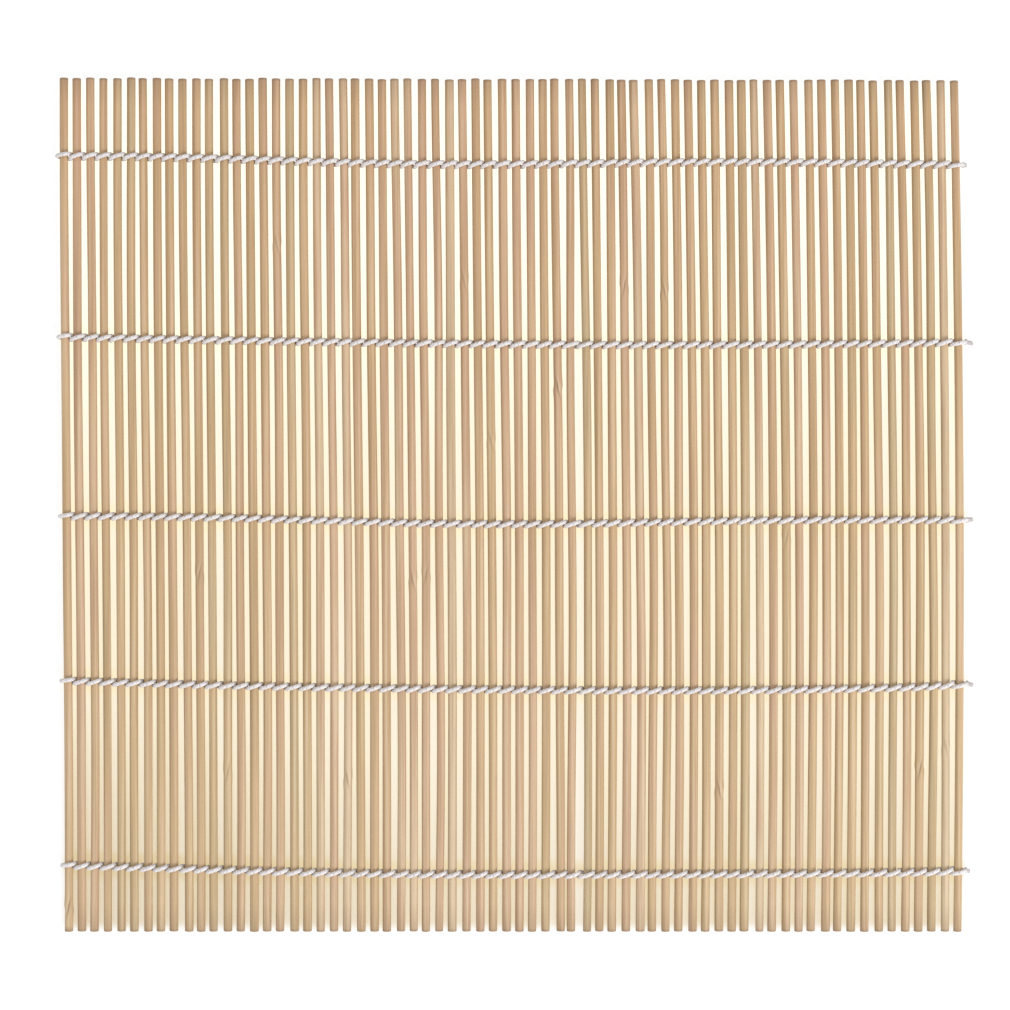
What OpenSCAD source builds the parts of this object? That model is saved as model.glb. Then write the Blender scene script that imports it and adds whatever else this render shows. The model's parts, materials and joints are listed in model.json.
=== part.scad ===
// A sushi rolling mat: thin round bamboo slats side by side, held by five rows of cotton twine.
// Millimetres, lying flat on a table at z = 0, with the slats along Y and the twine rows along X.
// The origin is on the table, at the middle of the mat's outer box.

/* [Slats] */
// Length of each slat
slat_length = 240; // [235:1:300]
// Diameter of each slat
slat_d = 2.4; // [2:0.1:3]
// Chamfer round each cut end of a slat
end_chamfer = 0.25; // [0.1:0.05:0.5]

/* [Twine] */
// Diameter of one strand of twine
twine_d = 1.2; // [0.9:0.05:1.6]
// Room between a strand and the slat beside it
slat_room = 0.07; // [0.05:0.01:0.2]
// Room between the two strands of a row where they pass each other in a gap
strand_room = 0.06; // [0.04:0.01:0.2]
// Straight stretch of a strand in a gap, between one half turn and the next
gap_run = 0.2; // [0.1:0.05:0.6]
// How much thinner a strand is there, where two slats squeeze it
gap_squeeze = 0.1; // [0.05:0.01:0.2]

/* [Twine rows] */
// Row 1, the farthest: its left end above the near ends of the slats
row_1 = 218; // [205:0.5:225]
// Row 2: its left end above the near ends of the slats
row_2 = 167.2; // [150:0.1:185]
// Row 3: its left end above the near ends of the slats
row_3 = 116.7; // [100:0.1:135]
// Row 4: its left end above the near ends of the slats
row_4 = 70.4; // [50:0.1:90]
// Row 5, the nearest: its left end above the near ends of the slats
row_5 = 18.2; // [12:0.1:35]

/* [Knots] */
// Diameter of the knot that closes each row past the last slat
knot_d = 1.6; // [1.5:0.1:2.2]
// How far the middle of the knot lies outside the strands that it ties
knot_offset = 0.3; // [0.2:0.05:0.6]
// Length of the cut tail past the knot
tail_length = 0.9; // [0.5:0.1:3]
// Diameter of the tail where it leaves the knot
tail_root_d = 1; // [0.8:0.1:1.2]
// Diameter of the tail at its cut end
tail_tip_d = 0.6; // [0.4:0.1:0.8]

/* [Hidden] */
// The first slats bend least in the roll, so they move two by two, and the rest one by one
pair_count = 15;
single_count = 38;
slat_count = 2 * pair_count + single_count;
first_single = 2 * pair_count + 1;

row_heights = [row_1, row_2, row_3, row_4, row_5];
row_count = len(row_heights);
// How each row strays from a straight line: its drop from left to right, its sag at the middle, and a ripple
row_shapes = [
    [1.7, 0.8, 0.35],
    [1.7, 1.2, 0],
    [0.9, 1.2, 0.45],
    [1.7, 1.8, -0.1],
    [1.5, 1.7, 0]
];

$fn = 48;

// A slat, the strand in the gap and the room on both sides of it make up one pitch
slat_pitch = slat_d + twine_d + 2 * slat_room;

// In a gap the strands pass side by side. Their half turns lean towards each other beyond it,
// so the strands stand a little farther apart than their own diameter.
strand_step = twine_d + strand_room;
strand_swing = strand_step / 2 / sqrt(1 - pow(strand_step / slat_pitch, 2));

// How far a squeezed stretch reaches into the half turns above and below it
neck_overlap = 0.1;

// Each strand is cut flat where it stands on the table, a tenth of its diameter deep
flat_depth = twine_d / 10;
turn_reach = norm([slat_pitch / 2, strand_swing]);
axis_z = turn_reach + gap_run / 2 + twine_d / 2 - flat_depth;
mat_height = axis_z + turn_reach + gap_run / 2 + twine_d / 2;

// The mat's outer box runs from the loops round the first slat to the ends of the tails
left_reach = slat_pitch / 2 + twine_d / 2;
right_reach = slat_pitch / 2 + knot_offset + knot_d / 2 + tail_length;
mat_width = left_reach + (slat_count - 1) * slat_pitch + right_reach;

function slat_x(i) = left_reach - mat_width / 2 + (i - 1) * slat_pitch;

function row_y(row, i) =
    let (t = (i - 1) / (slat_count - 1), s = row_shapes[row - 1])
    row_heights[row - 1] - slat_length / 2 - s[0] * t - s[1] * sin(180 * t) + s[2] * sin(540 * t);

// Where a strand passes through the gap after slat i: side is 1 for the far strand, -1 for the near one
// and 0 where both strands meet, outside the first and the last slat
function crossing(row, i, side) = [slat_x(i + 0.5), row_y(row, i + 0.5) + side * strand_swing];

// A strand that starts as number 0 or 1 goes over every other slat, and under the rest
function goes_over(i, strand) = (i + strand) % 2 == 0;

module slat(i) {
    r = slat_d / 2;
    end = slat_length / 2;
    translate([slat_x(i), 0, axis_z])
        rotate([-90, 0, 0])
            rotate_extrude()
                polygon([
                    [0, -end],
                    [r - end_chamfer, -end],
                    [r, -end + end_chamfer],
                    [r, end - end_chamfer],
                    [r - end_chamfer, end],
                    [0, end]
                ]);
}

// Half a turn round a slat, from one gap to the next, over it with up = 1 and under it with up = -1
module half_turn(from, to, up) {
    middle = (from + to) / 2;
    along = to - from;
    translate([middle.x, middle.y, axis_z + up * gap_run / 2])
        rotate([0, 0, atan2(along.y, along.x)])
            rotate([up * 90, 0, 0])
                rotate_extrude(angle = 180)
                    translate([norm(along) / 2, 0])
                        circle(d = twine_d);
}

// The straight, squeezed stretch of a strand in a gap. It reaches a little way into both half turns, and
// only touches the one on the side given as other, up with 1 and down with -1, which is in another node
module gap_neck(at, other = 0) {
    down = gap_run / 2 + (other < 0 ? 0 : neck_overlap);
    up = gap_run / 2 + (other > 0 ? 0 : neck_overlap);
    translate([at.x, at.y, axis_z - down])
        cylinder(d = twine_d - gap_squeeze, h = down + up);
}

// One strand of a row, from the gap after the first slat to the gap before the last one. Its half turns
// round those two slats are in the nodes of the loops and the knots
module strand(row, number) {
    for (i = [2 : slat_count - 1]) {
        up = goes_over(i, number) ? 1 : -1;
        half_turn(crossing(row, i - 1, -up), crossing(row, i, up), up);
    }
    for (i = [1 : slat_count - 1]) {
        side = goes_over(i, number) ? 1 : -1;
        other = i == 1 ? side : i == slat_count - 1 ? -side : 0;
        gap_neck(crossing(row, i, side), other);
    }
}

module below_table() {
    depth = mat_height;
    translate([0, 0, -depth / 2])
        cube([2 * mat_width, 2 * slat_length, depth], center = true);
}

module twine_row(row) {
    color("ivory")
        difference() {
            union() {
                strand(row, 0);
                strand(row, 1);
            }
            below_table();
        }
}

// Each string is folded in half round the first slat: one half goes over it, the other under it
module edge_loops() {
    color("ivory")
        difference() {
            for (row = [1 : row_count]) {
                fold = crossing(row, 0, 0);
                gap_neck(fold);
                for (up = [-1, 1])
                    half_turn(fold, crossing(row, 1, up), up);
            }
            below_table();
        }
}

// Past the last slat the two strands meet again, in a small knot with a cut tail
module end_knots() {
    color("ivory")
        difference() {
            for (row = [1 : row_count]) {
                meeting = crossing(row, slat_count, 0);
                gap_neck(meeting);
                for (up = [-1, 1])
                    half_turn(crossing(row, slat_count - 1, -up), meeting, up);
                translate([meeting.x + knot_offset, meeting.y, axis_z]) {
                    sphere(d = knot_d);
                    rotate([0, 90, 0])
                        cylinder(d1 = tail_root_d, d2 = tail_tip_d, h = knot_d / 2 + tail_length);
                }
            }
            below_table();
        }
}

module slat_pair(pair) {
    color("tan") {
        slat(2 * pair - 1);
        slat(2 * pair);
    }
}

module single_slat(i) {
    color("tan") slat(i);
}

for (row = [1 : row_count])
    twine_row(row);
edge_loops();
end_knots();
for (pair = [1 : pair_count])
    slat_pair(pair);
for (i = [first_single : slat_count])
    single_slat(i);
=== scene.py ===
# %% [markdown]
# # A sushi rolling mat
# Sixty-eight thin bamboo slats lie side by side, and five rows of cotton twine hold them. Each row
# is one string, folded in half round the first slat: its two halves cross in every gap, one going
# over the next slat and the other under it. The lesson builds the slats, the twine and its ends as
# surfaces worked out with numpy, gives each its finish, and lights them as a product photo from
# straight above.
#
# The construction model is loaded first. It fixes where every slat is and how the mat rolls, and
# nothing in it is moved here. All lengths are in metres.

# %% Load the construction model
import json
import math

import bpy
import numpy as np
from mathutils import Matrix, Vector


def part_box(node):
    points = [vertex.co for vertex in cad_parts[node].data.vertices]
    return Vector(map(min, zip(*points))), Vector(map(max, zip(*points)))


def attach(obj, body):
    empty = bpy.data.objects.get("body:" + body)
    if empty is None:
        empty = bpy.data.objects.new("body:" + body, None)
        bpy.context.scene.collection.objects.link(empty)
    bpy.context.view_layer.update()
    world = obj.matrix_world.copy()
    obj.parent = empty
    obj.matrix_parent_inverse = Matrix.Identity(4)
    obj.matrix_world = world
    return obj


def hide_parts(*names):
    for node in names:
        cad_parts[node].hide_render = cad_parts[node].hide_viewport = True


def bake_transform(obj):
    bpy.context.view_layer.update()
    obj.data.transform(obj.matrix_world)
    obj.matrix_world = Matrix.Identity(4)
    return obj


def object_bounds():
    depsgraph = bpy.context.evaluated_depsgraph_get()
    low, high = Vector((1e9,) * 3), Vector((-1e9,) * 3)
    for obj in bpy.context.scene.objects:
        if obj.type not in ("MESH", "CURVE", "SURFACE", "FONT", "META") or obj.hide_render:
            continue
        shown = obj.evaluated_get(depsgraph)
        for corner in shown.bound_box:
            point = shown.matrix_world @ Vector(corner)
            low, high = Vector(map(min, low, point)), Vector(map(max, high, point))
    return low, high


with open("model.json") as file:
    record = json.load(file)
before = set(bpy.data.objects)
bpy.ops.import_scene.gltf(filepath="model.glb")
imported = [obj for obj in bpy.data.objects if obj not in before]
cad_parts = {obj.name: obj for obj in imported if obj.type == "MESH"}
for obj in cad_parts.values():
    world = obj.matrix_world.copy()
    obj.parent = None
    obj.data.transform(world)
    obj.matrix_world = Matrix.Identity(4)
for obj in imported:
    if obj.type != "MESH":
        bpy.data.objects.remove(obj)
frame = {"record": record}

cad_box = [list(corner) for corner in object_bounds()]
print("The flat mat measures", [round(1000 * (b - a), 1) for a, b in zip(*cad_box)], "mm")

# %% [markdown]
# ## Where the slats are
# The slats could be set out again from their number and their pitch, the distance from one slat's
# middle to the next. Reading the places from the model's own slats is safer, because then the
# looks can't drift away from the construction. Slats 1 to 30 move two by two and share a node, and
# the others have a node each.

# %% Read the slats' places
MM = 0.001
SLATS = 68
PAIRED = 30


def slat_node(number):
    """The name of the node that holds this slat."""
    return f"slat_pair_{(number + 1) // 2}" if number <= PAIRED else f"slat_{number}"


bodies = frame["record"]["behaviour"]["bodies"]
body_of_node = {node: body for body, nodes in bodies.items() for node in nodes}
low_first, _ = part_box(slat_node(PAIRED + 1))
low_last, high_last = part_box(slat_node(SLATS))
PITCH = (low_last[0] - low_first[0]) / (SLATS - PAIRED - 1)
SLAT_R = (high_last[0] - low_last[0]) / 2
HALF_LENGTH = (high_last[1] - low_last[1]) / 2
AXIS_Z = (high_last[2] + low_last[2]) / 2
LAST_X = (high_last[0] + low_last[0]) / 2


def slat_x(number):
    """Where the middle of a slat lies across the mat: the last slat's place, less a pitch for each
    slat between. Halves stand for the gaps, so 1.5 is between slats 1 and 2."""
    return LAST_X + (number - SLATS) * PITCH


def body_of_slat(number):
    """The moving body that a slat belongs to."""
    return body_of_node[slat_node(number)]


print(f"Pitch {PITCH / MM:.2f} mm, slat diameter {2 * SLAT_R / MM:.2f} mm,",
      f"length {2 * HALF_LENGTH / MM:.0f} mm")

# %% [markdown]
# ## The hand-made unevenness
# Nothing in the photo is quite straight. The slats lean a little, the left ones along a faint S and
# the right ones along a shallow bow, each slat curves in its own way, so some gaps are wider than
# others, and the rows of twine sag by a millimetre or two. A modifier could bend the finished
# pieces, but slats and twine have to stay in touch. So the unevenness is written as functions of
# the slat's number and the height on the mat, and every piece uses the same ones.

# %% Lean and bow of the slats
LEAN_LEFT = 0.67 * MM
LEFT_MIDDLE = 0.1
LEFT_STEEPNESS = 2
LEAN_RIGHT = 1.0 * MM
LEAN_RIGHT_REST = 0.56 * MM
RIGHT_MIDDLE = -0.3
OWN_WAVES = 6

# How far the slats' own shifts, tilts, bows and waves spread, in mm
OWN_SPREAD = [[0.1], [0.16], [0.13], [0.1]]

rng = np.random.default_rng(68)
own_shift, own_tilt, own_bow, own_wave = rng.normal(0, OWN_SPREAD, (4, SLATS)) * MM
wave_phase = rng.uniform(0, 2 * np.pi, SLATS)


def lean(number, y):
    """Sideways shift of a slat at height y. The mat's part is an S curve on the left edge and a
    shallow bow on the right one, mixed by how far across the mat the slat is. The slat's own part
    is a shift, a tilt, a bow that is greatest in the middle, and a slow wave."""
    along = y / HALF_LENGTH
    across = (number - 1) / (SLATS - 1)
    left = -LEAN_LEFT * np.tanh(LEFT_STEEPNESS * (along - LEFT_MIDDLE))
    right = LEAN_RIGHT_REST - LEAN_RIGHT * (along - RIGHT_MIDDLE) ** 2
    k = number - 1
    own = own_shift[k] + own_tilt[k] * along + own_bow[k] * (1 - along**2)
    wave = own_wave[k] * np.sin(OWN_WAVES * along + wave_phase[k])
    return left * (1 - across) + right * across + own + wave


def gap_lean(gap, y):
    """Sideways shift of the gap after a slat: the mean of its two slats' shifts. Outside the mat
    it is the edge slat's own."""
    before, after = np.clip(gap, 1, SLATS), np.clip(gap + 1, 1, SLATS)
    return (lean(before, y) + lean(after, y)) / 2


print("Slat 1 leans by", np.round(lean(1, np.array([-1, 0, 1]) * HALF_LENGTH) / MM, 2), "mm")

# %% [markdown]
# ## Where the rows run
# The rows repeat the construction model's own formula, so the twine lies where the solids have it.
# They stray from it by less than the thickness of the twine, as the photo shows: by a shift, a slow
# wave, and a small rise where the last turns are pulled up into the knot.

# %% Sag of the rows
ROW_HEIGHTS = np.array([218, 167.2, 116.7, 70.4, 18.2]) * MM
ROW_SHAPES = np.array([[1.7, 0.8, 0.35], [1.7, 1.2, 0], [0.9, 1.2, 0.45],
                       [1.7, 1.8, -0.1], [1.5, 1.7, 0]]) * MM
ROW_STRAYS = np.array([[-0.33, 0.36, 0], [-0.03, -0.05, 0.2], [-0.02, 0.11, 0.2],
                       [0.2, -0.06, 0.75], [0.38, 0.14, 0.3]]) * MM
ROWS = len(ROW_HEIGHTS)
RISE_SLATS = 2


def row_y(row, number):
    """Height of a twine row at a slat: a straight drop, a sag at the middle and a ripple of three
    half waves, then the strays: a shift, a cosine of three half waves, and a rise that fades over
    the last few slats."""
    t = (number - 1) / (SLATS - 1)
    drop, sag, ripple = ROW_SHAPES[row].T
    shift, wave, rise = ROW_STRAYS[row].T
    fading = np.exp(-np.maximum(SLATS - number, 0) / RISE_SLATS)
    straying = shift + wave * np.cos(3 * np.pi * t) + rise * fading
    return (ROW_HEIGHTS[row] - HALF_LENGTH - drop * t - sag * np.sin(np.pi * t)
            + ripple * np.sin(3 * np.pi * t) + straying)


print("Row heights at the left edge, mm:", np.round(row_y(np.arange(ROWS), 1) / MM, 1))

# %% [markdown]
# ## One helper for every round piece
# A slat and a strand of twine are the same kind of shape: rings of points carried along a path.
# A curve with a bevel would give such a tube too, but with the same section all along. The helper
# takes all the rings at once, joins each ring to the next with four-sided faces, and closes both
# ends with a fan round a middle point. There is no seam, because each ring's last point joins its
# first. Smooth sides and flat ends keep the cut ends crisp.

# %% Make a mesh from rings of points


def ring_faces(count, around):
    """The faces of one tube: four-sided ones from ring to ring, and the two fans, whose middle
    points come after the points of all the rings."""
    i, k = np.meshgrid(np.arange(count - 1), np.arange(around), indexing="ij")
    after = (k + 1) % around
    here, ahead = i * around, (i + 1) * around
    quads = np.stack([here + k, here + after, ahead + after, ahead + k], -1)
    ring, turned = np.arange(around), (np.arange(around) + 1) % around
    top = (count - 1) * around
    caps = np.concatenate([
        np.stack([turned, ring, np.full(around, count * around)], -1),
        np.stack([top + ring, top + turned, np.full(around, count * around + 1)], -1),
    ])
    return quads.reshape(-1, 4), caps


def ring_mesh(name, rings, material, **per_ring):
    """A mesh object from an array of rings, shaped (tubes, rings, points, 3). Point k of a ring
    joins point k + 1 and the same points of the next ring. Each end is a fan round the mean of its
    ring. per_ring gives named float attributes, shaped (tubes, rings) or (tubes, rings, points)."""
    tubes, count, around, _ = rings.shape
    centres = rings[:, [0, -1]].mean(axis=2)
    verts = np.concatenate([rings.reshape(tubes, -1, 3), centres], axis=1)
    quads, caps = ring_faces(count, around)
    offsets = (np.arange(tubes) * verts.shape[1])[:, None, None]
    all_quads = (quads[None] + offsets).reshape(-1, 4)
    all_caps = (caps[None] + offsets).reshape(-1, 3)
    mesh = bpy.data.meshes.new(name)
    mesh.from_pydata(verts.reshape(-1, 3).tolist(), [], all_quads.tolist() + all_caps.tolist())
    smooth = np.r_[np.ones(len(all_quads), bool), np.zeros(len(all_caps), bool)]
    mesh.polygons.foreach_set("use_smooth", smooth)
    for key, value in per_ring.items():
        value = np.broadcast_to(value if value.ndim == 3 else value[..., None], rings.shape[:3])
        ends = value[:, [0, -1]].mean(axis=2)
        data = np.concatenate([value.reshape(tubes, -1), ends], axis=1).ravel()
        attribute = mesh.attributes.new(key, "FLOAT", "POINT")
        attribute.data.foreach_set("value", data.astype(np.float32))
    mesh.materials.append(material)
    mesh.update()
    made = bpy.data.objects.new(name, mesh)
    bpy.context.scene.collection.objects.link(made)
    return made


print("A tube of 2 rings of 16 points has", sum(map(len, ring_faces(2, 16))), "faces")

# %% [markdown]
# ## Helpers for finishes
# A finish is a tree of nodes. It can be joined by hand in the shader editor, and a script does the
# same with three or four lines for each node. The helpers here bring that down to one line, so that
# the recipe of a finish can be read from top to bottom.

# %% Add nodes to a tree


def node_adder(tree):
    """A function that adds a node to a tree, with its settings and inputs. An input is named, with
    _ for a space, or numbered as _0, _1 and so on. It is a value or another node's output."""

    def add(kind, settings=None, **inputs):
        node = tree.nodes.new(kind)
        for key, value in (settings or {}).items():
            setattr(node, key, value)
        for key, value in inputs.items():
            socket = node.inputs[int(key[1:]) if key[0] == "_" else key.replace("_", " ")]
            if isinstance(value, bpy.types.NodeSocket):
                tree.links.new(value, socket)
            else:
                socket.default_value = value
        return node

    return add


def new_material(name):
    """An empty node material, and the function that adds its nodes."""
    material = bpy.data.materials.new(name)
    material.use_nodes = True
    material.node_tree.nodes.clear()
    return material, node_adder(material.node_tree)


print("node_adder works on a", bpy.types.ShaderNodeTree.__name__)

# %% Short names for the nodes that are used most


def maths(add, operation, *values):
    """The result of a Math node."""
    numbered = {f"_{i}": value for i, value in enumerate(values)}
    return add("ShaderNodeMath", {"operation": operation}, **numbered).outputs[0]


def faded(add, value, start, end, at_start=0.0, at_end=1.0):
    """A number that goes from at_start to at_end while the value goes from start to end."""
    return add("ShaderNodeMapRange", _0=value, _1=start, _2=end, _3=at_start, _4=at_end).outputs[0]


def attribute(add, name):
    """A float attribute of the piece's own mesh."""
    return add("ShaderNodeAttribute", {"attribute_name": name}).outputs["Fac"]


def noise(add, place, grain, detail, roughness):
    """Noise from 0 to 1. grain is how many of its blots fit in a metre along X, Y and Z."""
    space = add("ShaderNodeMapping", Vector=place, Scale=grain).outputs[0]
    return add("ShaderNodeTexNoise", Vector=space, Scale=1.0, Detail=detail,
               Roughness=roughness).outputs[0]


def mixed(add, factor, a, b, how="MIX"):
    """Two colours mixed by a factor."""
    node = add("ShaderNodeMix", {"data_type": "RGBA", "blend_type": how}, _0=factor, _6=a, _7=b)
    return node.outputs[2]


def colour_ramp(add, factor, stops):
    """Colour and alpha of a ramp through (place, colour, alpha) stops, given in rising order."""
    ramp = add("ShaderNodeValToRGB", _0=factor)
    elements = ramp.color_ramp.elements
    while len(elements) < len(stops):
        elements.new(0.5)
    for element, (place, colour, alpha) in zip(elements, stops):
        element.position = place
        element.color = (*colour, alpha)
    return ramp.outputs["Color"], ramp.outputs["Alpha"]


helpers = (maths, faded, attribute, noise, mixed, colour_ramp)
print("Helpers:", ", ".join(helper.__name__ for helper in helpers))

# %% [markdown]
# ## Bamboo
# Split bamboo is pale tan with fine dark fibres along it, and every slat is cut from another part
# of the cane, so some are pinkish and some olive. A picture of bamboo would repeat from slat to
# slat, so three noise patterns on Object coordinates do this: one stretched a hundredfold along the
# slat for the fibres, a coarser one for the brown bands of dense fibre near the cane's skin and the
# pale pith between them, and a slow one for patches. The slat's own tone comes from an attribute on
# its mesh. A slow change along the slats takes them from warmer at the far end to paler at the near
# end.

# %% The colour of planed bamboo
PINK_TAN = (0.62, 0.40, 0.27)
GOLD_TAN = (0.60, 0.41, 0.235)
OLIVE_TAN = (0.54, 0.41, 0.25)
PALE_TAN = (0.66, 0.49, 0.33)
PITH_PALE = (0.73, 0.54, 0.37)
FIBRE_BROWN = (0.38, 0.235, 0.13)
FAR_WARMTH = (0.975, 0.955, 0.90, 1)
NEAR_PALE_TINT = (1.0, 1.07, 1.07, 1)
TAN_STOPS = [(0.25, OLIVE_TAN, 1), (0.5, GOLD_TAN, 1), (0.8, PINK_TAN, 1), (1.0, PALE_TAN, 1)]
FIBRE_GRAIN = (5200, 60, 5200)
BAND_GRAIN = (1500, 14, 1500)
PATCH_GRAIN = (420, 26, 420)
PATCH_SHARE = 0.85

# Where in the noise each colour starts and is full, and its share at both ends of that
DENSE_BANDS = (0.48, 0.7, 0.0, 0.5)
PITH_BANDS = (0.5, 0.3, 0.0, 0.6)
DARK_FIBRES = (0.52, 0.72, 0.0, 0.42)


def planed_bamboo(add, place, fibres):
    """The slat's own tone plus slow patches picks a tan. Bands turn it brown or pale, fibres draw
    dark streaks, and the place along the slat tints it warmer far off and paler near."""
    bands = noise(add, place, BAND_GRAIN, 2.0, 0.5)
    patches = noise(add, place, PATCH_GRAIN, 3.0, 0.5)
    shifted = maths(add, "MULTIPLY_ADD", patches, PATCH_SHARE, attribute(add, "tone"))
    tan, _ = colour_ramp(add, shifted, TAN_STOPS)
    wood = mixed(add, faded(add, bands, *DENSE_BANDS), tan, (*FIBRE_BROWN, 1))
    wood = mixed(add, faded(add, bands, *PITH_BANDS), wood, (*PITH_PALE, 1))
    wood = mixed(add, faded(add, fibres, *DARK_FIBRES), wood, (*FIBRE_BROWN, 1))
    along = add("ShaderNodeSeparateXYZ", _0=place).outputs["Y"]
    nearness = faded(add, along, HALF_LENGTH, -HALF_LENGTH)
    return mixed(add, 1.0, wood, mixed(add, nearness, FAR_WARMTH, NEAR_PALE_TINT), "MULTIPLY")


print("Planed bamboo mixes", len(TAN_STOPS), "tans")

# %% [markdown]
# ## Branch seams and sawn ends
# Where a branch once grew, the fibres part round a slanting seam, dark where it opened and pale
# beside it. A mesh fine enough to draw that line would be heavy, so the mesh only carries how far
# each point is from the seam, and a colour ramp on that distance draws it sharply. The sawn ends
# are browner, partly from a real saw stain and partly from painted shade, and show the fibres end
# on, as dark pores. The wood is dry and unvarnished, so it is rough, with a faint silky shine from
# the fibres.

# %% The bamboo material
SEAM_PALE = (0.74, 0.60, 0.42)
SEAM_DARK = (0.25, 0.15, 0.085)
# Brown of the sawn ends: partly a real saw stain, partly painted shade
SAWN_BROWN_AND_SHADE = (0.30, 0.19, 0.115)
SEAM_STOPS = [(0.28, FIBRE_BROWN, 0), (0.42, FIBRE_BROWN, 0.5), (0.48, SEAM_DARK, 0.9),
              (0.56, SEAM_DARK, 0.8), (0.62, SEAM_PALE, 0.65), (0.9, SEAM_PALE, 0)]
SEAM_RAGGED = 0.06
SAWN_SHARE = 0.8
PORES = (0.5, 0.6, 0.0, 0.6)
FIBRE_ROUGHNESS = (0.3, 0.7, 0.48, 0.72)
FIBRE_RELIEF = 0.06 * MM


def with_seams(add, wood, fibres):
    """The wood with its seams, from two attributes: the distance to the seam, in shares of its
    length from 0 far on one side to 1 far on the other, and its strength."""
    ragged = maths(add, "MULTIPLY_ADD", fibres, SEAM_RAGGED, attribute(add, "seam_place"))
    seam, shown = colour_ramp(add, ragged, SEAM_STOPS)
    shown = maths(add, "MULTIPLY", shown, attribute(add, "seam_strength"))
    return mixed(add, shown, wood, seam)


def with_sawn_ends_and_shade(add, wood, fibres):
    """The wood with its ends browned, partly by a saw stain and partly by painted shade, and with
    dark pores where the fibres are cut across.
    """
    end_grain = attribute(add, "end_grain")
    cut = maths(add, "MULTIPLY", end_grain, SAWN_SHARE)
    wood = mixed(add, cut, wood, (*SAWN_BROWN_AND_SHADE, 1))
    pores = maths(add, "MULTIPLY", faded(add, fibres, *PORES), end_grain)
    return mixed(add, pores, wood, (*SEAM_DARK, 1))


def bamboo_material():
    """Planed bamboo with its seams and sawn ends, rougher and raised where the fibres are."""
    material, add = new_material("bamboo")
    place = add("ShaderNodeTexCoord").outputs["Object"]
    fibres = noise(add, place, FIBRE_GRAIN, 4.0, 0.6)
    wood = planed_bamboo(add, place, fibres)
    wood = with_sawn_ends_and_shade(add, with_seams(add, wood, fibres), fibres)
    bump = add("ShaderNodeBump", Strength=0.35, Distance=FIBRE_RELIEF, Height=fibres).outputs[0]
    roughness = faded(add, fibres, *FIBRE_ROUGHNESS)
    shader = add("ShaderNodeBsdfPrincipled", Base_Color=wood, Roughness=roughness, Normal=bump,
                 Specular_IOR_Level=0.3)
    add("ShaderNodeOutputMaterial", Surface=shader.outputs[0])
    return material


bamboo = bamboo_material()
print("Bamboo has", len(bamboo.node_tree.nodes), "nodes")

# %% [markdown]
# ## Twine
# The string is soft undyed cotton of three plies. Seen close up it is a pale grey-white rope of
# slanting bulges with fine fibres across them, and its grooves look grey. Hair could stand for the
# fibres, but thousands of hairs are heavy and too fine to see here. So the plies are in the
# strand's shape, an attribute says how deep in a groove each point is, the material paints shade
# into the grooves from it, and it adds the fibres as fine noise on Object coordinates.

# %% The cotton material
COTTON = (0.88, 0.85, 0.86)
# Grey of the grooves, as painted shade, and of the worn patches
COTTON_SHADE_AND_WEAR = (0.52, 0.475, 0.47)
FUZZ_GRAIN = (2600, 6500, 6500)
WEAR_GRAIN = (260, 260, 260)
FUZZ_SHARE = 0.7
DEEP_GROOVES = (0.65, 1.6)
WORN_PATCHES = (0.45, 0.75, 0.0, 0.25)
FUZZ_RELIEF = 0.12 * MM


def cotton_material():
    """Pale cotton: grey with painted shade in the grooves between plies, grey in worn patches, and
    with fibre noise.
    """
    material, add = new_material("cotton_twine")
    place = add("ShaderNodeTexCoord").outputs["Object"]
    fuzz = noise(add, place, FUZZ_GRAIN, 5.0, 0.65)
    wear = noise(add, place, WEAR_GRAIN, 2.0, 0.5)
    depth = maths(add, "MULTIPLY_ADD", fuzz, FUZZ_SHARE, attribute(add, "groove"))
    # Painted shade in the grooves between plies
    cotton = mixed(add, faded(add, depth, *DEEP_GROOVES), (*COTTON, 1), (*COTTON_SHADE_AND_WEAR, 1))
    cotton = mixed(add, faded(add, wear, *WORN_PATCHES), cotton, (*COTTON_SHADE_AND_WEAR, 1))
    bump = add("ShaderNodeBump", Strength=0.6, Distance=FUZZ_RELIEF, Height=fuzz).outputs[0]
    shader = add("ShaderNodeBsdfPrincipled", Base_Color=cotton, Roughness=0.9, Normal=bump,
                 Specular_IOR_Level=0.15, Sheen_Weight=0.35, Sheen_Roughness=0.5)
    add("ShaderNodeOutputMaterial", Surface=shader.outputs[0])
    return material


cotton = cotton_material()
print("Cotton has", len(cotton.node_tree.nodes), "nodes")

# %% [markdown]
# ## The slats
# A slat is a rod of bamboo, planed round, with its ends sawn off. A cylinder would do from far
# away, but a real one is never true: it bows a little, its thickness changes slowly, it swells and
# kinks where a branch grew, and its sawn ends are slightly rounded, stained by the saw and darkened
# by painted shade. So each slat first draws its own character, and then its radius and its centre
# line are functions of the place along it.

# %% Random character of each slat
tone = rng.normal(0.21, 0.17, SLATS).clip(-0.15, 0.6)
girth = rng.normal(1, 0.02, SLATS).clip(0.95, 1.05)
phase = rng.uniform(0, 2 * np.pi, (SLATS, 3))
across_mat = np.arange(SLATS) / (SLATS - 1)
near_trim = (0.15 + rng.uniform(0, 0.12, SLATS)) * MM
far_trim = (0.7 * across_mat + rng.uniform(-0.15, 0.2, SLATS)) * MM

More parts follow.
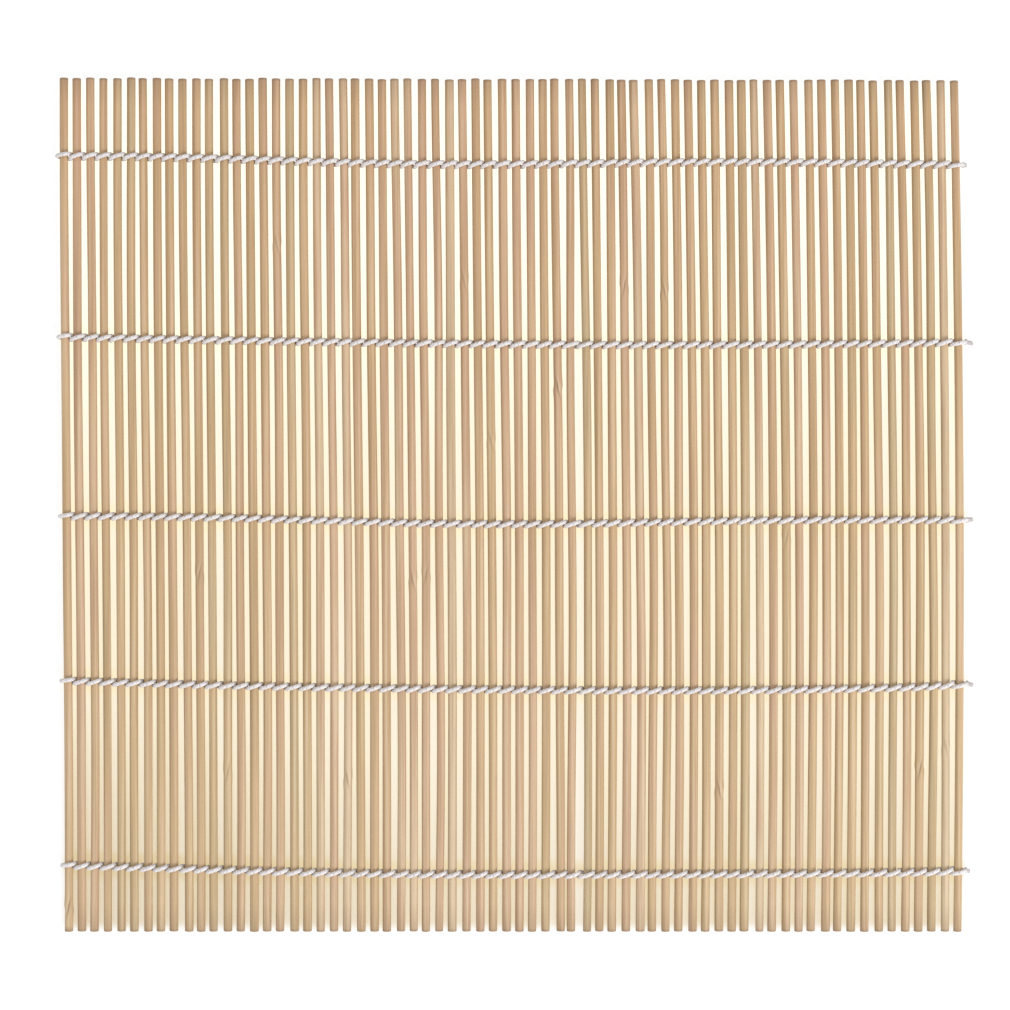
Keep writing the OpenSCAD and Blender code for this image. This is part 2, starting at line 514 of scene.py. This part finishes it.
# Each branch seam in the photo: the slat, its height on the mat in mm, how strong it is, and which
# way it slants and kinks
SEAMS = [(38, 33, 1.0, 1), (17, 73.5, 0.6, 1), (46, 60, 0.7, 1), (43, 61.5, 0.7, -1),
         (11, -19.5, 0.7, -1), (27, -21, 0.7, 1), (28, -19.5, 0.6, -1), (1, -113, 0.9, -1),
         (65, -74, 0.8, -1), (33, 18, 0.5, 1), (22, -77, 0.7, 1), (13, -75, 0.5, -1),
         (50, -80, 0.8, 1), (67, -68, 0.5, 1), (31, 63, 0.5, 1), (55, -9, 0.5, -1)]
print(len(SEAMS), "seams; girth from", girth.min().round(2), "to", girth.max().round(2))

# %% [markdown]
# ## What a seam does to a slat
# A branch leaves a slight swelling and a kink, and the seam slants round the slat. A slat's rings
# are far apart where it is plain. Round a seam they stand close, so that the kink has points to
# bend.

# %% Rings and seams along a slat
SLAT_SIDES = 16
PLAIN_RINGS = 34
SEAM_RINGS = 17
BEVEL = 0.22 * MM
BEVEL_STEP = 0.3
PLAIN_START = 4 * BEVEL
SEAM_HALF = 6 * MM
SEAM_SLANT = 5.5 * MM
SEAM_SWELL = 0.07 * MM
SEAM_KINK = 0.13 * MM
BELL_SHARPNESS = 6
KINK_SHARPNESS = 8
around_slat = np.arange(SLAT_SIDES) * 2 * np.pi / SLAT_SIDES


def ring_places(near, far, seams):
    """Heights of a slat's rings: close together in the bevels and round a seam, even elsewhere."""
    share = np.linspace(-1, 1, SEAM_RINGS)
    fine = np.array([height + share * SEAM_HALF for height, _, _ in seams]).ravel()
    ends = np.array([near, near, near + BEVEL * BEVEL_STEP, near + BEVEL])
    plain = np.linspace(near + PLAIN_START, far - PLAIN_START, PLAIN_RINGS)
    return np.sort(np.concatenate([ends, fine, plain, far + near - ends])).clip(near, far)


def seam_marks(y, seams):
    """What the seams do at heights y. The place is the height over a line that slants round the
    slat, from 0 to 1 across the seam, and 1 where no seam is near. Strength and swelling are a
    bell curve, and the kink is a bell curve times a step from one side to the other."""
    place = np.ones((len(y), SLAT_SIDES))
    strength, swell, kink = np.zeros((3, len(y)))
    for height, mark, way in seams:
        along = (y - height) / SEAM_HALF
        near_it = np.exp(-BELL_SHARPNESS * along**2)
        swell += SEAM_SWELL * mark * near_it
        kink += way * SEAM_KINK * mark * np.tanh(KINK_SHARPNESS * along) * near_it
        strength += mark * near_it * (abs(along) <= 1)
        slanted = along[:, None] + way * SEAM_SLANT / SEAM_HALF * np.sin(around_slat)
        place = np.where(abs(along)[:, None] <= 1, (0.5 + slanted / 2).clip(0, 1), place)
    return place, strength, swell, kink


print(f"A seam is {2 * SEAM_HALF / MM:.0f} mm long and swells a slat by {SEAM_SWELL / MM} mm")

# %% The surface of one slat
WARP, WARP_WAVES = 0.03 * MM, 4
SLOW_UNEVEN, SLOW_WAVES = 0.012, 3
QUICK_UNEVEN, QUICK_WAVES = 0.008, 11
OVAL = 0.02
# How far the saw stain and the painted shade reach in from each end
SAW_STAIN_AND_SHADE = 0.9 * MM


def slat_rings(number):
    """Rings along a slat, with its attributes. Centre line: straight, plus the lean, a seam's kink
    and a slight warp. Radius: the rod's, less a bevel at each end, plus a seam's swelling, times a
    slow and a quick sine along the slat and an oval round it. End grain, with its stain and painted
    shade, fades from both ends."""
    k = number - 1
    near, far = -HALF_LENGTH + near_trim[k], HALF_LENGTH - far_trim[k]
    seams = [(height * MM, mark, way) for slat, height, mark, way in SEAMS if slat == number]
    y = ring_places(near, far, seams)
    seam_place, seam_strength, swell, kink = seam_marks(y, seams)
    radius = np.full(len(y), SLAT_R)
    radius[[0, -1]] = SLAT_R / 2
    radius[[1, -2]] = SLAT_R - BEVEL
    radius[[2, -3]] = SLAT_R - BEVEL * BEVEL_STEP
    u = y / HALF_LENGTH
    uneven = girth[k] * (1 + SLOW_UNEVEN * np.sin(SLOW_WAVES * u + phase[k, 0])
                         + QUICK_UNEVEN * np.sin(QUICK_WAVES * u + phase[k, 1]))
    r = ((radius + swell) * uneven)[:, None] * (1 + OVAL * np.cos(2 * around_slat + phase[k, 2]))
    x = slat_x(number) + lean(number, y) + kink
    z = AXIS_Z + WARP * np.sin(WARP_WAVES * u + phase[k, 0])
    rings = np.stack([x[:, None] + r * np.sin(around_slat), np.broadcast_to(y[:, None], r.shape),
                      z[:, None] + r * np.cos(around_slat)], -1)
    # End grain, saw stain and painted shade, strongest at the ends
    end_grain = np.exp(-(np.minimum(y - near, far - y) / SAW_STAIN_AND_SHADE) ** 2)
    return rings, seam_place, seam_strength, end_grain


for number in (2, 38):
    print("Slat", number, "has", len(slat_rings(number)[0]), "rings")

# %% Make the slats


def make_slat(number):
    """A slat as a piece that rides on its body and stands for its node."""
    rings, seam_place, seam_strength, end_grain = slat_rings(number)
    slat = ring_mesh(f"slat_{number:02d}_bamboo", rings[None], bamboo,
                     tone=np.full((1, len(rings)), tone[number - 1]), seam_place=seam_place[None],
                     seam_strength=seam_strength[None], end_grain=end_grain[None])
    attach(slat, body_of_slat(number))
    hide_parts(slat_node(number))
    return slat


slats = [make_slat(number) for number in range(1, SLATS + 1)]
print(len(slats), "slats,", sum(len(s.data.polygons) for s in slats), "faces")

# %% [markdown]
# ## The path of a strand
# Each half of a string winds from gap to gap: half a turn over one slat, straight down through the
# gap, half a turn under the next. The two halves of a string do the opposite of each other, so they
# cross in every gap and the row looks like a rope laid across the mat. Seen from above, every turn
# over a slat slants the same way. A sine wave would look much the same from above, but half
# circles hug the slats from every side, as the real string does.

# %% Half turns round a slat
STRAND_D = 1.2 * MM
STRAND_ROOM = 0.06 * MM
GAP_RUN = 0.2 * MM
STRAND_STEP = STRAND_D + STRAND_ROOM
SWING = STRAND_STEP / 2 / math.sqrt(1 - (STRAND_STEP / PITCH) ** 2)


def goes_over(number, strand):
    """1 where strand 0 or 1 goes over this slat, and -1 where it goes under it."""
    return np.where((number + strand) % 2 == 0, 1, -1)


def crossing(row, gap, side):
    """The point in plan where a strand passes through the gap after a slat: side is 1 for the far
    strand, -1 for the near one, and 0 for the fold and the knot, where both strands meet."""
    y = row_y(row, gap + 0.5) + side * SWING
    return np.stack([slat_x(gap + 0.5) + gap_lean(gap, y), y], -1)


def half_turn(start, end, up, angle):
    """Points on half a turn from start to end, over the slat with up = 1 and under it with up = -1:
    an upright half circle on the line between the two, at the given angles, from 0 at start to pi
    at end."""
    middle, half = (start + end) / 2, (end - start) / 2
    plan = middle[:, None] - half[:, None] * np.cos(angle)[None, :, None]
    rise = GAP_RUN / 2 + np.linalg.norm(half, axis=-1)[:, None] * np.sin(angle)
    return np.concatenate([plan, (AXIS_Z + up[:, None] * rise)[..., None]], -1)


print(f"In a gap the two strands stand {2 * SWING / MM:.2f} mm apart")

# %% [markdown]
# ## The surface of a strand
# Three plies are twisted into a strand, so its section is a circle with three bulges, and the
# bulges turn along the way. A smooth tube with a bump pattern would show the twist from above, but
# its outline would stay smooth, and a soft string's outline is what gives it away. The mesh
# carries the bulges, and their depth goes to the material as an attribute.

# %% A strand's surface along its path
PLIES = 3
PLY_DEPTH = 0.085
LAY_LENGTH = 3.2 * MM
STRAND_SIDES = 12


def strand_rings(path, across, lay_start, lay_end, thickness=1.0):
    """Rings round a path, shaped (tubes, points, 3). across is a sideways vector for each point;
    made square to the path, it and the path's third direction carry the ring. The ring is a circle
    with as many bulges as there are plies, turned along the way from lay_start to lay_end turns,
    and pressed flat where the strand stands on the table. Its grooves go from 0 on a ply to 1."""
    tangent = np.gradient(path, axis=1)
    tangent /= np.linalg.norm(tangent, axis=-1, keepdims=True)
    side = across - (across * tangent).sum(-1, keepdims=True) * tangent
    side /= np.linalg.norm(side, axis=-1, keepdims=True)
    out = np.cross(tangent, side)
    angle = np.arange(STRAND_SIDES) * 2 * np.pi / STRAND_SIDES
    step = np.linalg.norm(np.diff(path, axis=1), axis=-1)
    length = np.concatenate([np.zeros((len(path), 1)), np.cumsum(step, axis=1)], axis=1)
    share = length / length[:, -1:]
    lay = lay_start[:, None] + (lay_end - lay_start)[:, None] * share
    wave = np.cos(PLIES * (angle + 2 * np.pi * lay[..., None]))
    radius = STRAND_D / 2 * (1 - PLY_DEPTH / 2 + PLY_DEPTH / 2 * wave) * thickness
    spokes = (np.cos(angle)[:, None] * side[:, :, None]
              + np.sin(angle)[:, None] * out[:, :, None])
    rings = path[:, :, None] + radius[..., None] * spokes
    rings[..., 2] = rings[..., 2].clip(0)
    return rings, 0.5 - 0.5 * wave


print(f"{PLIES} plies make a turn in about {LAY_LENGTH / MM} mm")

# %% [markdown]
# ## The twine across the gaps
# The mat has to roll, so a row can't be one rigid piece. It is cut at the top and bottom of each
# slat, where the twine doesn't bend, and one piece holds all ten stretches of strand in a gap, two
# for each row. It follows the slat on each side and bends in the gap between them. Neighbouring
# pieces share their end rings, so no cut shows, and the rings are closest together there, where the
# two surfaces have to meet smoothly. The strand's sideways direction turns while it passes through
# the gap, because the half turn before it and the one after it slant opposite ways in plan.

# %% Two quarter turns make one stretch
QUARTER = np.pi / 2
QUARTER_RINGS = 9
EASED = 0.6
steps = np.arange(QUARTER_RINGS) / (QUARTER_RINGS - 1)
from_top = QUARTER * (1 + EASED * (1 - np.cos(QUARTER * steps)) + (1 - EASED) * steps)
to_top = np.pi - from_top[::-1]
TURN_LENGTH = np.pi * math.hypot(PITCH / 2, SWING) + GAP_RUN
LAY_PER_TURN = round(TURN_LENGTH / LAY_LENGTH * PLIES) / PLIES


def plan_square(start, end):
    """The level direction square to the line from start to end."""
    along = (end - start) / np.linalg.norm(end - start, axis=-1, keepdims=True)
    return np.stack([-along[:, 1], along[:, 0], np.zeros(len(along))], -1)


def join_turns(points, up, lay_start):
    """One strand through three points in plan: a quarter turn from the top, or the bottom, of the
    first half turn to the middle point, and a quarter turn on to the middle of the second. Its
    sideways direction turns smoothly from one half turn's to the other's."""
    start, middle, end = points
    first, second = half_turn(start, middle, up, from_top), half_turn(middle, end, -up, to_top)
    path = np.concatenate([first, second], axis=1)
    share = np.linspace(0, 1, path.shape[1])
    soft = (share**2 * (3 - 2 * share))[None, :, None]
    before, after = plan_square(start, middle)[:, None], plan_square(middle, end)[:, None]
    across = before * (1 - soft) + after * soft
    return strand_rings(path, across, lay_start, lay_start + LAY_PER_TURN)


print(f"Half a turn is {TURN_LENGTH / MM:.1f} mm long and holds {LAY_PER_TURN:.2f} turns of lay")

# %% Make the twine in every gap
twine_nodes = [f"twine_row_{row + 1}" for row in range(ROWS)]


def gap_twine(gap):
    """The ten stretches in a gap, from the middle of the slat before it to the middle of the next.
    Past the edge slats both strands of a row meet, so there the side is 0."""
    row = np.repeat(np.arange(ROWS), 2)
    strand = np.tile([0, 1], ROWS)
    up = goes_over(gap, strand)
    before = crossing(row, gap - 1, -up if gap > 1 else 0 * up)
    here = crossing(row, gap, up)
    after = crossing(row, gap + 1, -up if gap + 1 < SLATS else 0 * up)
    rings, groove = join_turns((before, here, after), up, gap * LAY_PER_TURN + strand / 2)
    return ring_mesh(f"twine_gap_{gap:02d}", rings, cotton, groove=groove)


def place_twine(gap):
    """The gap's twine: riding on the body of the slats on both sides where they move together,
    and otherwise left loose, with its place baked into the mesh."""
    piece = gap_twine(gap)
    a, b = body_of_slat(gap), body_of_slat(gap + 1)
    if a == b:
        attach(piece, a)
    else:
        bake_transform(piece)
    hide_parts(*twine_nodes)
    return piece


twine = [place_twine(gap) for gap in range(1, SLATS)]
print(len(twine), "pieces of twine,", sum(len(t.data.polygons) for t in twine), "faces")

# %% [markdown]
# ## Folds on the left edge
# Each string starts at its middle: it is folded round the first slat, and from there one half goes
# over the slat and the other under it. So a fold is one strand that comes down from the top of the
# slat, past its outer side, and back under it. The two quarter turns of a gap make that shape too,
# with the outer point in the middle.

# %% The five folds
row_numbers = np.arange(ROWS)
ones = np.ones(ROWS, int)


def edge_turns(slat, outside, inside):
    """The strand round the outer side of an edge slat, from its top to the outer point and on to
    its underside. outside and inside are the gaps on the slat's two sides."""
    side = ones if outside < inside else -ones
    top, low = crossing(row_numbers, inside, side), crossing(row_numbers, inside, -side)
    meeting = crossing(row_numbers, outside, 0 * ones)
    over = np.where(goes_over(slat, 0) == 1, 0, 1)
    return join_turns((top, meeting, low), ones, np.full(ROWS, slat * LAY_PER_TURN + over / 2))


rings, groove = edge_turns(1, 0, 1)
folds = ring_mesh("string_folds", rings, cotton, groove=groove)
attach(folds, body_of_slat(1))
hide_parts("edge_loops")
print("Folds:", len(folds.data.polygons), "faces")

# %% [markdown]
# ## Knots on the right edge
# Past the last slat the two halves of a string are tied in a small overhand knot and cut off. A
# ball would fill the same few pixels, but it looks like a bead from the side. An overhand knot
# pulled tight is a trefoil: its centre line goes round twice while it weaves in and out three
# times. Its loose fibres hold dust, and it carries painted shade too, so it is greyer than the
# string.

# %% The knots
KNOT_OFFSET = 0.3 * MM
KNOT_R = 0.34 * MM
KNOT_SCALE = 0.21 * MM
KNOT_POINTS = 49
KNOT_WEAVE = 0.9
KNOT_LAY = 4
KNOT_SIDE = (1.0, 0.15, 0.1)
# How much greyer the knots and tails are: partly dust in the frayed fibres, partly painted shade
FRAYED_AND_SHADED = 0.9

rings, groove = edge_turns(SLATS, SLATS, SLATS - 1)
end_turns = ring_mesh("string_end_turns", rings, cotton, groove=groove)

meeting = crossing(row_numbers, SLATS, 0 * ones)
knot_centre = np.column_stack([meeting[:, 0] + KNOT_OFFSET, meeting[:, 1], np.full(ROWS, AXIS_Z)])


def knot_rings():
    """Trefoils: sin t + 2 sin 2t and cos t - 2 cos 2t in the plane along the edge, and -sin 3t out
    of it, each turned by its own angle and scaled so that the knot is about a slat thick."""
    t = np.linspace(0, 2 * np.pi, KNOT_POINTS)
    weave = -np.sin(3 * t) * KNOT_WEAVE
    flat_y, flat_z = np.sin(t) + 2 * np.sin(2 * t), np.cos(t) - 2 * np.cos(2 * t)
    turn = rng.uniform(0, 2 * np.pi, ROWS)[:, None]
    y = np.cos(turn) * flat_y - np.sin(turn) * flat_z
    z = np.sin(turn) * flat_y + np.cos(turn) * flat_z
    path = np.stack([np.broadcast_to(weave, y.shape), y, z], -1) * KNOT_SCALE
    path = path + knot_centre[:, None]
    across = np.broadcast_to(np.array(KNOT_SIDE), path.shape)
    start = np.zeros(ROWS)
    rings, groove = strand_rings(path, across, start, start + KNOT_LAY, 2 * KNOT_R / STRAND_D)
    # The knot's grey: dust and painted shade
    return rings, FRAYED_AND_SHADED / 2 + groove


rings, groove = knot_rings()
knots = ring_mesh("string_knots", rings, cotton, groove=groove)
print("Knots:", len(knots.data.polygons), "faces")

# %% [markdown]
# ## Tails
# Two short tails come out of each knot, as long as in the photo. They are cut string, with nothing
# to pull them straight, so each bends a little and gets thinner towards its frayed end. The same
# strand surface makes them, on a curve given by two powers of the distance from the knot.

# %% The tails, and where all the ends belong
TAIL_LENGTHS = np.array([0.9, 1.95, 1.7, 1.7, 1.2]) * MM
TAIL_DROOP = np.array([0.1, 0.25, -0.1, 0.35, 0.3]) * MM
TAIL_APART = 0.25 * MM
TAIL_POINTS = 14
TAIL_ROOT = 1.05
TAIL_THINNING = 0.4


def tail_rings():
    """Two tails a row: short curves that leave the knot side by side and bend towards the near
    edge of the mat by the row's own amount, with a radius that falls from the strand's own to
    about two thirds of it."""
    row = np.repeat(row_numbers, 2)
    count = len(row)
    t = np.linspace(0, 1, TAIL_POINTS)[None]
    reach = TAIL_LENGTHS[row][:, None] * rng.uniform(0.8, 1, (count, 1))
    apart = np.tile([[TAIL_APART], [-TAIL_APART]], (ROWS, 1))
    swing = apart - TAIL_DROOP[row][:, None] * rng.uniform(0.8, 1.2, (count, 1))
    drop = rng.uniform(-0.6, 0.1, (count, 1)) * MM
    path = np.stack([t * reach, swing * t**1.4, drop * t**2], -1) + knot_centre[row][:, None]
    across = np.broadcast_to(np.array([0.0, 1.0, 0.0]), path.shape)
    thickness = (TAIL_ROOT - TAIL_THINNING * t**1.5)[..., None]
    start = rng.uniform(0, 1, count)
    rings, groove = strand_rings(path, across, start, start + 1, thickness)
    # The tails' grey: dust in the fraying and painted shade
    return rings, FRAYED_AND_SHADED + groove


rings, groove = tail_rings()
tails = ring_mesh("string_tails", rings, cotton, groove=groove)
for piece in (end_turns, knots, tails):
    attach(piece, body_of_slat(SLATS))
    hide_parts("end_knots")
print("Tails:", len(tails.data.polygons), "faces; the longest is", TAIL_LENGTHS.max() / MM, "mm")

# %% [markdown]
# ## The table
# A plain white floor. The camera sees it close to pure white: what it sees is mixed from a white
# glow and the lit surface, which keeps the mat's shadow. More lamp light would whiten the floor
# too, but it would bleach the mat. Between the slats the light on a real table has bounced off
# bamboo and is warm, and it fades towards the near edge of the mat, most of all at the left corner.
# A glow can't pick that up by itself, so it is tinted wherever something stands close over the
# table.

# %% The tint of the bounced light
BOUNCE = [(0, (1.35, 1.3, 1.04), 1), (0.17, (1.28, 1.205, 0.955), 1),
          (0.43, (1.12, 0.975, 0.64), 1), (0.69, (1.06, 0.905, 0.595), 1),
          (0.86, (0.84, 0.665, 0.37), 1), (1, (0.75, 0.59, 0.33), 1)]
NEAR_END = 0.86
BOUNCE_REACH = 4 * MM
OPEN_ENOUGH = 0.66
FULLY_CLOSED = 0.46
DIM_CORNER = (cad_box[0][0], cad_box[0][1], 0)
CORNER_REACH = 100 * MM
CORNER_FLAT = 0.2 * CORNER_REACH


def seen_directly(add):
    """1 for rays from the camera, a mirror or glass, and 0 for those that carry light onwards."""
    path = add("ShaderNodeLightPath").outputs
    seen = maths(add, "MAXIMUM", path["Is Camera Ray"], path["Is Glossy Ray"])
    return maths(add, "MAXIMUM", seen, path["Is Transmission Ray"])


def bounce_tint(add):
    """White in the open. Where something is close above, the bounce's colour for this height on
    the mat, with the near left corner moved towards the darkest end of the ramp."""
    place = add("ShaderNodeTexCoord").outputs["Object"]
    along = add("ShaderNodeSeparateXYZ", _0=place).outputs["Y"]
    nearness = faded(add, along, HALF_LENGTH, -HALF_LENGTH, 0.0, NEAR_END)
    away = add("ShaderNodeVectorMath", {"operation": "DISTANCE"}, _0=place, _1=DIM_CORNER)
    corner = faded(add, away.outputs["Value"], CORNER_REACH, CORNER_FLAT, 0.0, 1 - NEAR_END)
    bounce, _ = colour_ramp(add, maths(add, "ADD", nearness, corner), BOUNCE)
    sky = add("ShaderNodeAmbientOcclusion", {"samples": 8}, Distance=BOUNCE_REACH).outputs["AO"]
    return mixed(add, faded(add, sky, OPEN_ENOUGH, FULLY_CLOSED), (1, 1, 1, 1), bounce)


print("The tint starts within", BOUNCE_REACH / MM, "mm of the mat")

# %% The table top
FLOOR_HALF = 3.0
FLOOR_WHITE = (0.88, 0.88, 0.88, 1)
GLOW_SHARE = 0.82
GLOW_STRENGTH = 1.08


def floor_material():
    """White: diffuse for the light, and partly glowing for the camera, mirrors and glass."""
    material, add = new_material("white_table")
    share = maths(add, "MULTIPLY", seen_directly(add), GLOW_SHARE)
    lit = add("ShaderNodeBsdfDiffuse", Color=FLOOR_WHITE).outputs[0]
    glow = add("ShaderNodeEmission", Color=bounce_tint(add), Strength=GLOW_STRENGTH).outputs[0]
    shader = add("ShaderNodeMixShader", _0=share, _1=lit, _2=glow).outputs[0]
    add("ShaderNodeOutputMaterial", Surface=shader)
    return material


floor_mesh = bpy.data.meshes.new("table")
corners = np.array([[-1, -1, 0], [1, -1, 0], [1, 1, 0], [-1, 1, 0]]) * FLOOR_HALF
floor_mesh.from_pydata(corners.tolist(), [], [(0, 1, 2, 3)])
floor_mesh.materials.append(floor_material())
table = bpy.data.objects.new("table", floor_mesh)
bpy.context.scene.collection.objects.link(table)
print("The table is", 2 * FLOOR_HALF, "m wide")

# %% [markdown]
# ## Light
# The photo is a soft product shot. One big soft lamp stands at the near right, because the shadows
# in it fall towards the far left of the twine, and the surroundings fill the rest. A sun would give
# such shadows too, but hard ones. The surroundings light the mat a little less than white, but look
# white to the camera.

# %% Lamp and surroundings
SURROUNDINGS = 0.72
LAMP_PLACE = (0.62, -0.72, 0.9)
LAMP_SIZE = 0.6
LAMP_POWER = 9.5

scene = bpy.context.scene
world = bpy.data.worlds.new("studio")
world.use_nodes = True
world.node_tree.nodes.clear()
add = node_adder(world.node_tree)
strength = faded(add, seen_directly(add), 0.0, 1.0, SURROUNDINGS, 1.0)
background = add("ShaderNodeBackground", Color=(1, 1, 1, 1), Strength=strength)
add("ShaderNodeOutputWorld", Surface=background.outputs[0])
scene.world = world


def soft_lamp(name, place, aim, size, power):
    """A square area lamp at place, turned towards aim."""
    data = bpy.data.lights.new(name, "AREA")
    data.shape = "SQUARE"
    data.size = size
    data.energy = power
    lamp = bpy.data.objects.new(name, data)
    lamp.location = place
    x, y, z = np.array(aim) - np.array(place)
    lamp.rotation_euler = (math.atan2(math.hypot(x, y), -z), 0, math.atan2(y, x) - QUARTER)
    scene.collection.objects.link(lamp)
    return lamp


lamp = soft_lamp("near_softbox", LAMP_PLACE, (0, 0, 0), LAMP_SIZE, LAMP_POWER)
print(f"{lamp.name}: {lamp.data.energy} W from {1000 * LAMP_SIZE:.0f} mm square")

# %% [markdown]
# ## Camera
# The camera looks straight down from about three times the mat's own width, so the slats at the
# edges are seen a little from inside, as in the photo. A camera without perspective would show all
# of them from straight above. The lens follows from the scale: the middles of the first and the
# last slat are 891.5 pixels apart in the photo.

# %% The camera
PX = 1010
SLATS_PX = 891.5
CENTRE_PX_X = 514.1
CAMERA_HEIGHT = 0.75
MM_PER_PX = PITCH * (SLATS - 1) / SLATS_PX
VIEW_WIDTH = PX * MM_PER_PX
camera_data = bpy.data.cameras.new("camera")
camera_data.sensor_width = 36
camera_data.lens = camera_data.sensor_width * (CAMERA_HEIGHT - AXIS_Z) / VIEW_WIDTH
camera = bpy.data.objects.new("camera", camera_data)
camera.location = ((PX / 2 - CENTRE_PX_X) * MM_PER_PX, 0, CAMERA_HEIGHT)
scene.collection.objects.link(camera)
scene.camera = camera
scene.view_settings.view_transform = "Standard"
print(f"{MM_PER_PX / MM:.4f} mm a pixel, lens {camera_data.lens:.0f} mm")
